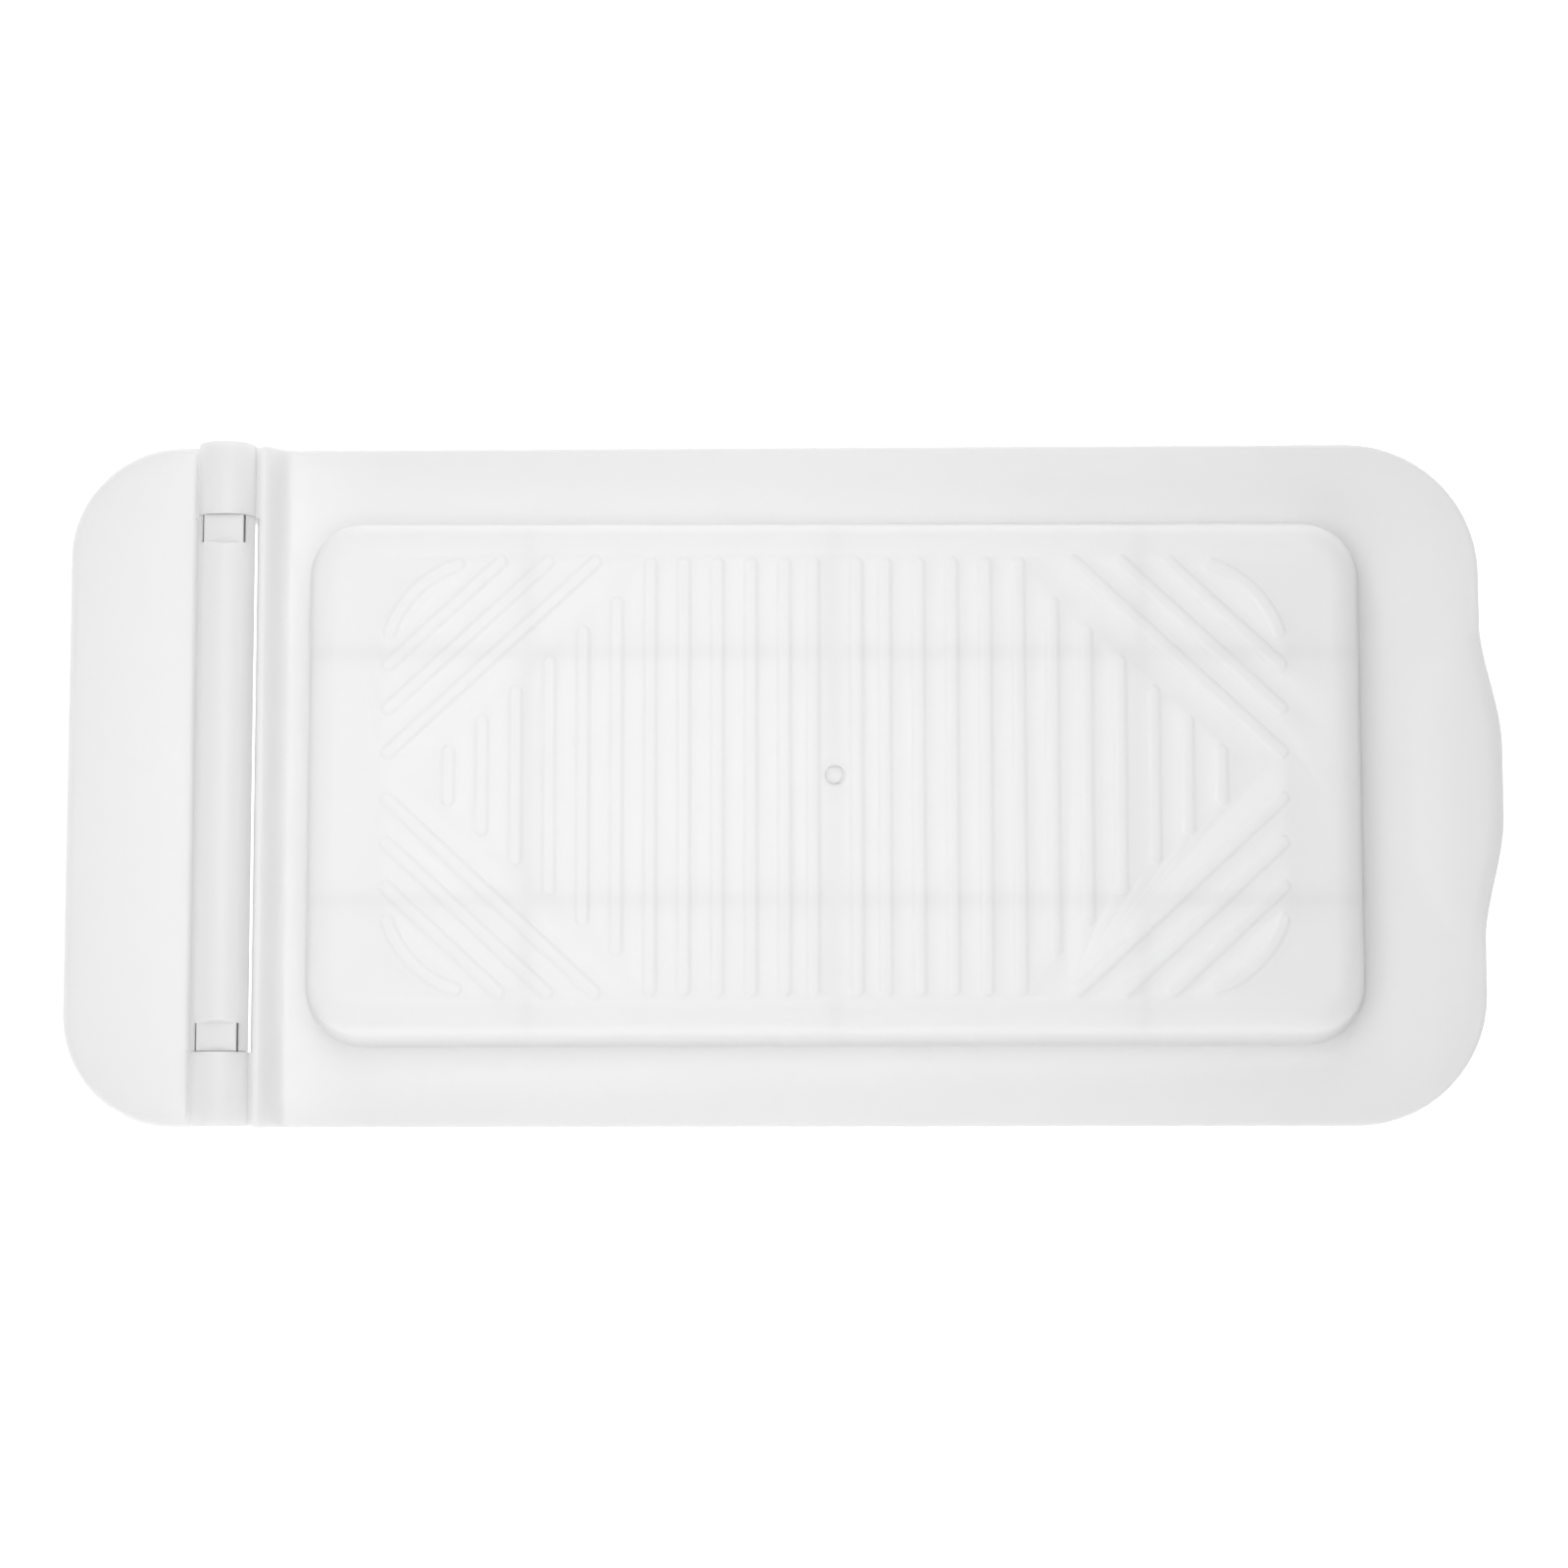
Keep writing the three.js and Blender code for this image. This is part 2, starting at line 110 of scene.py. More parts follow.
PLATFORM_X = 8.8
PLATFORM_HALF_LENGTH = 91.8
PLATFORM_HALF_WIDTH = 45.6
PLATFORM_CORNER = 10.5
PLATFORM_DRAFT = 1.5
PLATFORM_FILLET = 5.5
FOOT_FILLET = 0.4

# Ribs: upright ones either side of the gate mark, then diagonal and curved ones in the corners.
RIB_HEIGHT = 0.3
PLATFORM_TOP = RIB_TOP - RIB_HEIGHT
RIB_HALF_WIDTH = 1.05
RIB_SOFTNESS = 0.5
RIB_SINK = 0.02
RIB_PITCH = 5.73
RIBS_PER_HALF = 12
LONG_RIBS_PER_HALF = 6
RIB_GATE_OFFSET = 3.75
PATTERN_HALF_LENGTH = 77.0
PATTERN_HALF_WIDTH = 37.5
RIB_SHORTENING = 5.12
DIAGONALS_PER_CORNER = 3
DIAGONAL_FOOT = 40.2
DIAGONAL_STEP = 8.1
DIAGONAL_SLOPE = 0.93
ARC_RIB_RADIUS = 18.0
ARC_RIB_CENTRE = (58.9, 19.2)
ARC_RIB_HALF_ANGLE = math.radians(27)

GATE_RADIUS = 1.75
GATE_DEPTH = 0.5
GATE_GROOVE = 0.45
DISC_TAPER = 0.1

STIFFENER_WIDTH = 2.0
STIFFENER_DEPTH = 3.0
STIFFENER_ROUND = 0.3
STIFFENER_END_INSET = 1.6 * WALL
LONG_STIFFENER_Y = 21.2
CROSS_STIFFENER_STEP = 52.4

# The hinge: a knuckle on a web at each end of the tray, and the flap's barrel between them.
KNUCKLE_END = 59.4
KNUCKLE_LENGTH = 12.8
BARREL_END_GAP = 0.08
HINGE_END_ROUND = 0.15
WEB_DROP = 0.05
WEB_INSET = 0.05
WEB_ROUND = 0.1
PIN_CLEARANCE = 0.3
PIN_END_ROUND = 0.6
KNUCKLE_BORE_CLEARANCE = 0.12

# A tongue at each end of the barrel, freed by two slits and lowered below the barrel's crown.
TONGUE_LENGTH = 4.9
TONGUE_HALF_WIDTH = 3.4
TONGUE_CROWN = 4.1
TONGUE_CURVE = 12.0
TONGUE_RAMP = 1.5
TONGUE_ROOT_BEND = ((0.3, 0.0), (0.1, 0.03), (0.0, 0.15))
CROWN_CLEARANCE = 0.1
SLIT_WIDTH = 0.33
SLIT_ROUND = 0.05

FLAP_TOP = 6.5
FLAP_CORNER = 19.7
FLAP_EDGE_ROUND = 2.2
FLAP_INNER_ROUND = 0.9
FLAP_HOLLOW_ROUND = 0.8
ROOT_FILLET = 1.4
ROOT_OVERLAP = 1.0
ROOT_SINK = 0.02

BODY_LEFT = HINGE_X + BARREL_RADIUS + GAP
BODY_RIGHT = GRIP_END - GRIP_BULGE
KNUCKLE_START = KNUCKLE_END - KNUCKLE_LENGTH
FLAP_BARREL_END = KNUCKLE_START - BARREL_END_GAP
TONGUE_START = KNUCKLE_START - TONGUE_LENGTH
FLAP_RIGHT = HINGE_X - BARREL_RADIUS - GAP
FLAP_UNDERSIDE = FLAP_TOP - WALL
BORE_RADIUS = PIN_RADIUS + PIN_CLEARANCE

# ---- Fineness of the meshes ----

SHARP_ANGLE = math.radians(32)
LATHE_SEGMENTS = 96
BOX_ROUND_STEPS = 4
END_ROUND_STEPS = 5
CORNER_STEPS = 14
SIDE_STEPS = 70
SIDE_CROWDING = 1.6
END_STEPS = 72
FLANGE_RINGS = 30
HOLLOW_FLANGE_RINGS = 5
ROUND_STEPS = 8
FOOT_STEPS = 5
RIB_LEVELS = 9
RIB_END_STEPS = 12
ARC_RIB_STEPS = 19
ARC_RIB_END_STEPS = 10
FLAP_CORNER_STEPS = 24
FLAP_SIDE_STEPS = 24
FLAP_HOLLOW_STEPS = 4
ROOT_STEPS = 11
TONGUE_STEPS = 24

# ---- Curves ----


def smoothstep(value, low, high):
    """Rises smoothly from 0 at low to 1 at high."""
    t = np.clip((np.asarray(value, float) - low) / (high - low), 0.0, 1.0)
    return t * t * (3 - 2 * t)


def quarter_steps(count):
    """Angles from 0 to a quarter turn in equal steps."""
    return [QUARTER * i / count for i in range(count + 1)]


# ---- Mesh helpers ----


def mesh_object(name, points, faces):
    mesh = bpy.data.meshes.new(name)
    mesh.from_pydata([tuple(p) for p in np.asarray(points, float) * MM], [], faces)
    mesh.validate()
    piece = bpy.data.objects.new(name, mesh)
    bpy.context.scene.collection.objects.link(piece)
    return piece


def stacked_rings(name, rings):
    """A closed mesh through rings of equal length, lowest first, each anticlockwise from above."""
    count = len(rings[0])
    points = np.concatenate(rings)
    faces = [tuple(reversed(range(count)))]
    for start in range(0, (len(rings) - 1) * count, count):
        for i in range(count):
            after = (i + 1) % count
            faces.append((start + i, start + after, start + count + after, start + count + i))
    last = (len(rings) - 1) * count
    faces.append(tuple(range(last, last + count)))
    return mesh_object(name, points, faces)


def lifted(outline, z):
    return np.column_stack([outline, np.broadcast_to(z, len(outline))])


def combine(target, tool, operation):
    """Joins tool to target, or cuts it away, and removes tool."""
    step = target.modifiers.new(operation, "BOOLEAN")
    step.operation = operation
    step.solver = "MANIFOLD"
    step.object = tool
    graph = bpy.context.evaluated_depsgraph_get()
    result = bpy.data.meshes.new_from_object(target.evaluated_get(graph))
    target.modifiers.clear()
    target.data = result
    bpy.data.objects.remove(tool)
    return target


def join(target, *tools):
    for tool in tools:
        combine(target, tool, "UNION")
    return target


def cut(target, *tools):
    for tool in tools:
        combine(target, tool, "DIFFERENCE")
    return target


def mirrored(piece, name):
    """A copy on the other side of the tray's long middle plane."""
    copy = bpy.data.objects.new(name, piece.data.copy())
    bpy.context.scene.collection.objects.link(copy)
    for vertex in copy.data.vertices:
        vertex.co.y = -vertex.co.y
    copy.data.flip_normals()
    return copy


def turned(name, profile):
    """A solid of revolution about the hinge axis from (radius, y) pairs, low y first."""
    angles = np.arange(LATHE_SEGMENTS) * (2 * math.pi / LATHE_SEGMENTS)
    rings = []
    for radius, y in profile:
        x = HINGE_X + radius * np.sin(angles)
        z = HINGE_Z + radius * np.cos(angles)
        rings.append(np.column_stack([x, np.full(LATHE_SEGMENTS, y), z]))
    return stacked_rings(name, rings)


def rounded_ends(radius, y_low, y_high, edge):
    """The profile of a cylinder whose two end edges are rounded."""
    low_end = []
    high_end = []
    for angle in quarter_steps(END_ROUND_STEPS):
        from_axis = radius - edge * (1 - math.sin(angle))
        inward = edge * (1 - math.cos(angle))
        low_end.append((from_axis, y_low + inward))
        high_end.append((from_axis, y_high - inward))
    return low_end + high_end[::-1]


def soft_box(name, low, high, edge):
    """A box with rounded upright edges and rounded top and bottom edges."""
    levels = []
    for angle in quarter_steps(BOX_ROUND_STEPS):
        levels.append((edge * (1 - math.sin(angle)), low[2] + edge * (1 - math.cos(angle))))
    levels += [(inset, low[2] + high[2] - z) for inset, z in reversed(levels)]
    least_reach = edge / 50
    rings = []
    for inset, z in levels:
        outline = []
        for corner in range(4):
            start = corner * QUARTER - QUARTER
            middle = start + QUARTER / 2
            x = high[0] - edge if math.cos(middle) > 0 else low[0] + edge
            y = high[1] - edge if math.sin(middle) > 0 else low[1] + edge
            reach = max(edge - inset, least_reach)
            for turn in quarter_steps(BOX_ROUND_STEPS):
                outline.append((x + reach * math.cos(start + turn), y + reach * math.sin(start + turn)))
        rings.append(lifted(np.array(outline), z))
    return stacked_rings(name, rings)


def disc(name, radius, z_low, z_high):
    """An upright disc on the platform's middle, a little narrower at the bottom."""
    angles = np.arange(LATHE_SEGMENTS) * (2 * math.pi / LATHE_SEGMENTS)
    circle = np.column_stack([np.cos(angles), np.sin(angles)])
    bottom = lifted(circle * (radius - DISC_TAPER) + (PLATFORM_X, 0), z_low)
    top = lifted(circle * radius + (PLATFORM_X, 0), z_high)
    return stacked_rings(name, [bottom, top])


def extruded_along_y(name, section, y_low, y_high):
    """A section of (x, z) points, anticlockwise seen from the near side, drawn out along Y."""
    section = np.asarray(section, float)
    rings = []
    for y in (y_high, y_low):
        rings.append(np.column_stack([section[:, 0], np.full(len(section), y), section[:, 1]]))
    return stacked_rings(name, rings)


def finished(piece):
    """Shades a piece smooth, except over its sharp edges."""
    piece.data.shade_smooth()
    piece.data.set_sharp_from_angle(angle=SHARP_ANGLE)
    return piece


# ---- Outlines of the body, all with the same number of points ----


def crowded_toward_left(count):
    """Fractions along a long side, closer together near the hinge, where the lip needs them."""
    even = np.linspace(0, 1, count + 1)
    return even ** SIDE_CROWDING


def corner_arc(x, y, radius, start):
    angles = start + np.linspace(0, QUARTER, CORNER_STEPS + 1)
    return np.column_stack([x + radius * np.cos(angles), y + radius * np.sin(angles)])


def long_side(x_low, x_high, y):
    fractions = crowded_toward_left(SIDE_STEPS)[1:-1]
    return np.column_stack([x_low + (x_high - x_low) * fractions, np.full(len(fractions), y)])


def four_sided(left, right, half, left_radius, right_radius, bulge=None):
    """An anticlockwise outline with round corners; bulge pushes its right side out along y."""
    near = long_side(left + left_radius, right - right_radius, -half)
    far = long_side(left + left_radius, right - right_radius, half)[::-1]
    fractions = np.linspace(-1, 1, END_STEPS + 1)[1:-1]
    right_y = fractions * (half - right_radius)
    right_x = right + (bulge(right_y) if bulge else 0 * right_y)
    left_y = -fractions * (half - left_radius)
    return np.concatenate([
        near,
        corner_arc(right - right_radius, right_radius - half, right_radius, -QUARTER),
        np.column_stack([right_x, right_y]),
        corner_arc(right - right_radius, half - right_radius, right_radius, 0.0),
        far,
        corner_arc(left + left_radius, half - left_radius, left_radius, QUARTER),
        np.column_stack([np.full(len(left_y), left), left_y]),
        corner_arc(left + left_radius, left_radius - half, left_radius, 2 * QUARTER),
    ])


def grip_bulge(y):
    """How far the finger grip stands out from the body's straight end."""
    return GRIP_BULGE * smoothstep(GRIP_FOOT - np.abs(y), 0, GRIP_FOOT - GRIP_CREST)


def flange_outline(inset):
    left_radius = max(HINGE_CORNER - inset, LEAST_CORNER)
    return four_sided(BODY_LEFT + inset, BODY_RIGHT - inset, HALF_WIDTH - inset,
                      left_radius, BODY_CORNER - inset, grip_bulge)


def platform_outline(inset):
    radius = PLATFORM_CORNER - inset
    left = PLATFORM_X - PLATFORM_HALF_LENGTH + inset
    right = PLATFORM_X + PLATFORM_HALF_LENGTH - inset
    return four_sided(left, right, PLATFORM_HALF_WIDTH - inset, radius, radius)


def sheet_height(x):
    """The plain flange sheet's upper face."""
    return FLANGE_LOW + (FLANGE_HIGH - FLANGE_LOW) * (x - HINGE_X) / (GRIP_END - HINGE_X)


def flange_height(x, y):
    """The flange's upper face with the lip beside the hinge and the finger pad."""
    down = np.clip((x - BODY_LEFT - LIP_FLAT) / (LIP_FOOT - LIP_FLAT), 0, 1) ** LIP_SKEW
    lip = LIP_HEIGHT * (1 - smoothstep(down, 0, 1))
    return sheet_height(x) + lip + pad_height(x, y)


def pad_height(x, y):
    """The finger pad: a low mound whose crest runs a little way in from the grip's edge."""
    depth = BODY_RIGHT + grip_bulge(y) - x
    inward = (depth - PAD_CREST) / (PAD_REACH - PAD_CREST)
    outward = PAD_FALL * (PAD_CREST - depth) / PAD_CREST
    across = np.maximum(inward, outward)
    spread = across ** PAD_INWARD_POWER + (np.abs(y) / GRIP_FOOT) ** PAD_ACROSS_POWER
    return PAD_HEIGHT * np.clip(1 - spread, 0, 1) ** PAD_FADE_POWER


# ---- Tray body ----


def hollow_rings():
    """From the platform's inner top, down its inner wall, along the flange's underside to the skirt."""
    rings = []
    inner_round = PLATFORM_FILLET - WALL
    for angle in reversed(quarter_steps(ROUND_STEPS)):
        inset = WALL + PLATFORM_DRAFT + inner_round * (1 - math.cos(angle))
        z = PLATFORM_TOP - WALL - inner_round * (1 - math.sin(angle))
        rings.append(lifted(platform_outline(inset), z))
    foot = platform_outline(WALL)
    rings.append(lifted(foot, sheet_height(foot[:, 0]) - WALL))
    skirt = flange_outline(WALL)
    for t in np.linspace(0, 1, HOLLOW_FLANGE_RINGS + 1)[1:]:
        between = foot * (1 - t) + skirt * t
        rings.append(lifted(between, sheet_height(between[:, 0]) - WALL))
    rings.append(lifted(skirt, SKIRT_ROUND))
    rings.append(lifted(flange_outline(WALL - SKIRT_ROUND), 0.0))
    return rings


def outer_rings():
    """From the skirt's lower edge up and over the flange, then up the platform to its top."""
    rings = [lifted(flange_outline(SKIRT_ROUND), 0.0), lifted(flange_outline(0.0), SKIRT_ROUND)]
    for angle in quarter_steps(ROUND_STEPS):
        outline = flange_outline(EDGE_ROUND * (1 - math.cos(angle)))
        x, y = outline.T
        rings.append(lifted(outline, flange_height(x, y) - EDGE_ROUND * (1 - math.sin(angle))))
    edge = flange_outline(EDGE_ROUND)
    foot = platform_outline(-FOOT_FILLET)
    for t in np.linspace(0, 1, FLANGE_RINGS + 1)[1:]:
        between = edge * (1 - t) + foot * t
        x, y = between.T
        rings.append(lifted(between, flange_height(x, y)))
    for angle in quarter_steps(FOOT_STEPS)[1:]:
        outline = platform_outline(-FOOT_FILLET * (1 - math.sin(angle)))
        x, y = outline.T
        rings.append(lifted(outline, flange_height(x, y) + FOOT_FILLET * (1 - math.cos(angle))))
    for angle in quarter_steps(2 * ROUND_STEPS):
        inset = PLATFORM_DRAFT + PLATFORM_FILLET * (1 - math.cos(angle))
        z = PLATFORM_TOP - PLATFORM_FILLET * (1 - math.sin(angle))
        rings.append(lifted(platform_outline(inset), z))
    return rings


def rib_levels():
    """A rib's half width at each height, from its foot in the sheet up to its top."""
    levels = []
    for t in np.linspace(1, 0, RIB_LEVELS):
        reach = RIB_HALF_WIDTH + RIB_SOFTNESS * (2 * t - 1)
        rise = (RIB_HEIGHT + RIB_SINK) * (1 - float(smoothstep(t, 0, 1)))
        levels.append((reach, PLATFORM_TOP - RIB_SINK + rise))
    return [(levels[0][0], PLATFORM_TOP - WALL / 2)] + levels


def straight_rib(start, end):
    """A rib with round ends that reach the two given points."""
    start, end = np.array(start, float), np.array(end, float)
    along = (end - start) / np.linalg.norm(end - start)
    first, last = start + along * RIB_HALF_WIDTH, end - along * RIB_HALF_WIDTH
    heading = math.atan2(along[1], along[0])
    rings = []
    for reach, z in rib_levels():
        outline = []
        for middle, turn in ((last, heading - QUARTER), (first, heading + QUARTER)):
            for angle in turn + np.linspace(0, 2 * QUARTER, RIB_END_STEPS + 1):
                outline.append(middle + reach * np.array([math.cos(angle), math.sin(angle)]))
        rings.append(lifted(np.array(outline) + (PLATFORM_X, 0), z))
    return stacked_rings("rib", rings)


def corner_rib(sign_x, sign_y):
    """The curved rib that rounds off one corner of the pattern."""
    centre = np.array([sign_x * ARC_RIB_CENTRE[0], sign_y * ARC_RIB_CENTRE[1]])
    middle = math.atan2(sign_y, sign_x)
    first, last = middle - ARC_RIB_HALF_ANGLE, middle + ARC_RIB_HALF_ANGLE

    def around(origin, radius, angles):
        return [origin + radius * np.array([math.cos(a), math.sin(a)]) for a in angles]

    start = around(centre, ARC_RIB_RADIUS, [first])[0]
    end = around(centre, ARC_RIB_RADIUS, [last])[0]
    along = np.linspace(first, last, ARC_RIB_STEPS + 1)
    back = np.linspace(last, first, ARC_RIB_STEPS + 1)
    half_turn = np.linspace(0, 2 * QUARTER, ARC_RIB_END_STEPS + 1)[1:-1]
    rings = []
    for reach, z in rib_levels():
        outline = around(centre, ARC_RIB_RADIUS + reach, along)
        outline += around(end, reach, last + half_turn)
        outline += around(centre, ARC_RIB_RADIUS - reach, back)
        outline += around(start, reach, first - 2 * QUARTER + half_turn)
        rings.append(lifted(np.array(outline) + (PLATFORM_X, 0), z))
    return stacked_rings("rib", rings)


def platform_ribs():
    """All the ribs, in a pattern that mirrors about the gate mark both ways."""
    ribs = []
    for i in range(RIBS_PER_HALF):
        offset = RIB_GATE_OFFSET if i == 0 else (i + 0.5) * RIB_PITCH
        reach = PATTERN_HALF_WIDTH if i < LONG_RIBS_PER_HALF else RIB_SHORTENING * (RIBS_PER_HALF - i)
        for x in (-offset, offset):
            ribs.append(straight_rib((x, -reach), (x, reach)))
    for sign_x in (-1, 1):
        for sign_y in (-1, 1):
            for i in range(DIAGONALS_PER_CORNER):
                foot = DIAGONAL_FOOT + i * DIAGONAL_STEP
                head = PATTERN_HALF_WIDTH - (PATTERN_HALF_LENGTH - foot) * DIAGONAL_SLOPE
                ribs.append(straight_rib((sign_x * foot, sign_y * PATTERN_HALF_WIDTH),
                                         (sign_x * PATTERN_HALF_LENGTH, sign_y * head)))
            ribs.append(corner_rib(sign_x, sign_y))
    return ribs


def merged(name, pieces):
    """Several separate meshes as one object, none of them touching."""
    points, faces = [], []
    for piece in pieces:
        base = len(points)
        points += [np.array(v.co) / MM for v in piece.data.vertices]
        faces += [tuple(base + i for i in face.vertices) for face in piece.data.polygons]
        bpy.data.objects.remove(piece)
    return mesh_object(name, points, faces)


def stiffener_bars():
    """Two long bars and three cross bars under the platform's top sheet."""
    half = STIFFENER_WIDTH / 2
    low_z = PLATFORM_TOP - WALL - STIFFENER_DEPTH
    high_z = PLATFORM_TOP - WALL / 2
    reach_x = PLATFORM_HALF_LENGTH - PLATFORM_DRAFT - STIFFENER_END_INSET
    reach_y = PLATFORM_HALF_WIDTH - PLATFORM_DRAFT - STIFFENER_END_INSET
    bars = []
    for y in (-LONG_STIFFENER_Y, LONG_STIFFENER_Y):
        low = (PLATFORM_X - reach_x, y - half, low_z)
        high = (PLATFORM_X + reach_x, y + half, high_z)
        bars.append(soft_box("bar", low, high, STIFFENER_ROUND))
    for step in (-1, 0, 1):
        x = PLATFORM_X + step * CROSS_STIFFENER_STEP
        low = (x - half, -reach_y, low_z)
        high = (x + half, reach_y, high_z)
        bars.append(soft_box("bar", low, high, STIFFENER_ROUND))
    return bars


def far_knuckle():
    """The round knuckle on its web, bored for the pin."""
    barrel = turned("knuckle", rounded_ends(BARREL_RADIUS, KNUCKLE_START, KNUCKLE_END, HINGE_END_ROUND))
    web_top = FLANGE_LOW + LIP_HEIGHT - WEB_DROP
    low = (HINGE_X, KNUCKLE_START + WEB_INSET, 0.0)
    high = (BODY_LEFT + LIP_FLAT, KNUCKLE_END - WEB_INSET, web_top)
    bore_radius = PIN_RADIUS + KNUCKLE_BORE_CLEARANCE
    bore = turned("bore", [(bore_radius, KNUCKLE_START - WALL), (bore_radius, KNUCKLE_END + WALL)])
    return cut(join(barrel, soft_box("web", low, high, WEB_ROUND)), bore)


def tray_moulding():
    body = stacked_rings("tray_moulding", hollow_rings() + outer_rings())
    knuckle = far_knuckle()
    other = mirrored(knuckle, "near_knuckle")
    join(body, *stiffener_bars(), knuckle, other, merged("ribs", platform_ribs()))
    cut(body, disc("gate", GATE_RADIUS, PLATFORM_TOP - GATE_DEPTH, RIB_TOP))
    gate_middle = disc("gate_middle", GATE_RADIUS - GATE_GROOVE, PLATFORM_TOP - WALL / 2, PLATFORM_TOP)
    return finished(join(body, gate_middle))


# ---- End flap ----


def flap_outline(inset, right):
    """The flap seen from above, with two round corners and a straight side at the hinge."""
    left = FLAP_LEFT + inset
    half = HALF_WIDTH - inset
    radius = FLAP_CORNER - inset

    def arc(y, start):
        angles = start + np.linspace(0, QUARTER, FLAP_CORNER_STEPS + 1)
        return np.column_stack([left + radius + radius * np.cos(angles), y + radius * np.sin(angles)])

    side_y = np.linspace(half - radius, radius - half, FLAP_SIDE_STEPS)[1:-1]
    return np.concatenate([
        [(right, half)],
        arc(half - radius, QUARTER),
        np.column_stack([np.full(len(side_y), left), side_y]),
        arc(radius - half, 2 * QUARTER),
        [(right, -half)],
    ])


def flap_plate():
    """The flat sheet with its turned-down edge, hollow below and open toward the hinge."""
    rings = [lifted(flap_outline(SKIRT_ROUND, FLAP_RIGHT), 0.0),
             lifted(flap_outline(0.0, FLAP_RIGHT), SKIRT_ROUND)]
    for angle in quarter_steps(ROUND_STEPS):
        inset = FLAP_EDGE_ROUND * (1 - math.cos(angle))
        z = FLAP_TOP - FLAP_EDGE_ROUND * (1 - math.sin(angle))
        right = FLAP_RIGHT - FLAP_INNER_ROUND * (1 - math.cos(angle))
        rings.append(lifted(flap_outline(inset, right), z))
    plate = stacked_rings("flap_moulding", rings)
    hollow = [lifted(flap_outline(WALL, FLAP_RIGHT + WALL), -WALL / 2)]
    for angle in quarter_steps(FLAP_HOLLOW_STEPS):
        inset = WALL + FLAP_HOLLOW_ROUND * (1 - math.cos(angle))
        z = FLAP_UNDERSIDE - FLAP_HOLLOW_ROUND * (1 - math.sin(angle))
        hollow.append(lifted(flap_outline(inset, FLAP_RIGHT + WALL), z))
    return cut(plate, stacked_rings("flap_hollow", hollow))


def flap_root():
    """The plate's inner edge, filleted up into the barrel."""
    rise = FLAP_TOP + ROOT_FILLET - HINGE_Z
    run = math.sqrt((BARREL_RADIUS + ROOT_FILLET) ** 2 - rise ** 2)
    centre = (HINGE_X - run, FLAP_TOP + ROOT_FILLET)
    contact = math.atan2(-rise, run)
    inside_plate = centre[0] - ROOT_OVERLAP
    section = [(inside_plate, FLAP_UNDERSIDE), (HINGE_X, FLAP_UNDERSIDE), (HINGE_X, HINGE_Z)]
    for angle in np.linspace(contact, -QUARTER, ROOT_STEPS + 1):
        section.append((centre[0] + ROOT_FILLET * math.cos(angle), centre[1] + ROOT_FILLET * math.sin(angle)))
    section.append((inside_plate, FLAP_TOP - ROOT_SINK))
    root_end = FLAP_BARREL_END - HINGE_END_ROUND
    return extruded_along_y("root", section, -root_end, root_end)


def tongue_step():
    """What is cut off the far end of the barrel: the tongue's flatter top and a ramp up from its root."""
    half = TONGUE_HALF_WIDTH + SLIT_WIDTH / 2
    x = np.linspace(-half, half, TONGUE_STEPS + 1)
    tongue_top = TONGUE_CROWN - TONGUE_CURVE + np.sqrt(TONGUE_CURVE ** 2 - x ** 2)
    top_rise = BARREL_RADIUS - TONGUE_CROWN + CROWN_CLEARANCE
    levels = [(FLAP_BARREL_END + WALL, 0.0)]
    levels += [(TONGUE_START + along, rise) for along, rise in TONGUE_ROOT_BEND]
    levels.append((TONGUE_START - top_rise / TONGUE_RAMP, top_rise))
    rings = []
    for y, rise in levels:
        floor = np.column_stack([HINGE_X + x, np.full(len(x), y), HINGE_Z + tongue_top + rise])
        roof = floor[::-1] + (0, 0, BARREL_RADIUS)
        rings.append(np.concatenate([floor, roof]))
    return stacked_rings("step", rings)


def far_barrel_cut():
    """The pin's bore, the two slits that free the tongue, and the step down to the tongue."""
    open_end = FLAP_BARREL_END + WALL
    cuts = turned("bore", [(BORE_RADIUS, PIN_INNER - GAP), (BORE_RADIUS, open_end)])
    for left in (-TONGUE_HALF_WIDTH - SLIT_WIDTH, TONGUE_HALF_WIDTH):
        low = (HINGE_X + left, TONGUE_START, HINGE_Z)
        high = (HINGE_X + left + SLIT_WIDTH, open_end, HINGE_Z + 2 * BARREL_RADIUS)
        join(cuts, soft_box("slit", low, high, SLIT_ROUND))
    return join(cuts, tongue_step())


def flap_moulding():
    plate = flap_plate()
    profile = rounded_ends(BARREL_RADIUS, -FLAP_BARREL_END, FLAP_BARREL_END, HINGE_END_ROUND)
    barrel = turned("barrel", profile)
    join(plate, flap_root(), barrel)
    far_cut = far_barrel_cut()
    near_cut = mirrored(far_cut, "near_cut")
    return finished(cut(plate, far_cut, near_cut))


# ---- Hinge pins ----


def far_pin():
    return finished(turned("far_pin", rounded_ends(PIN_RADIUS, PIN_INNER, PIN_OUTER, PIN_END_ROUND)))


# ---- Materials ----

MOULDING_WHITE = (0.87, 0.87, 0.87)
MOULDING_ROUGHNESS = 0.42
PIN_WHITE = (0.85, 0.85, 0.85)
PIN_ROUGHNESS = 0.3
ROUGHNESS_SPREAD = 0.14
SPECULAR_LEVEL = 0.35
PLASTIC_IOR = 1.49
SCATTER_WEIGHT = 0.8
SCATTER_RADIUS = (1.0, 1.0, 1.0)
SCATTER_DEPTH = 1.6 * MM

# Noises, with scales per metre: broad mottling, the plastic's flow, and the mould's fine grain.
MOTTLE_SCALE = 28.0
MOTTLE_SPREAD = 0.02
FLOW_SCALE = 140.0
FLOW_DEPTH = 0.4 * MM
GRAIN_SCALE = 2600.0
GRAIN_DEPTH = 0.1 * MM
BUMP_STRENGTH = 0.05

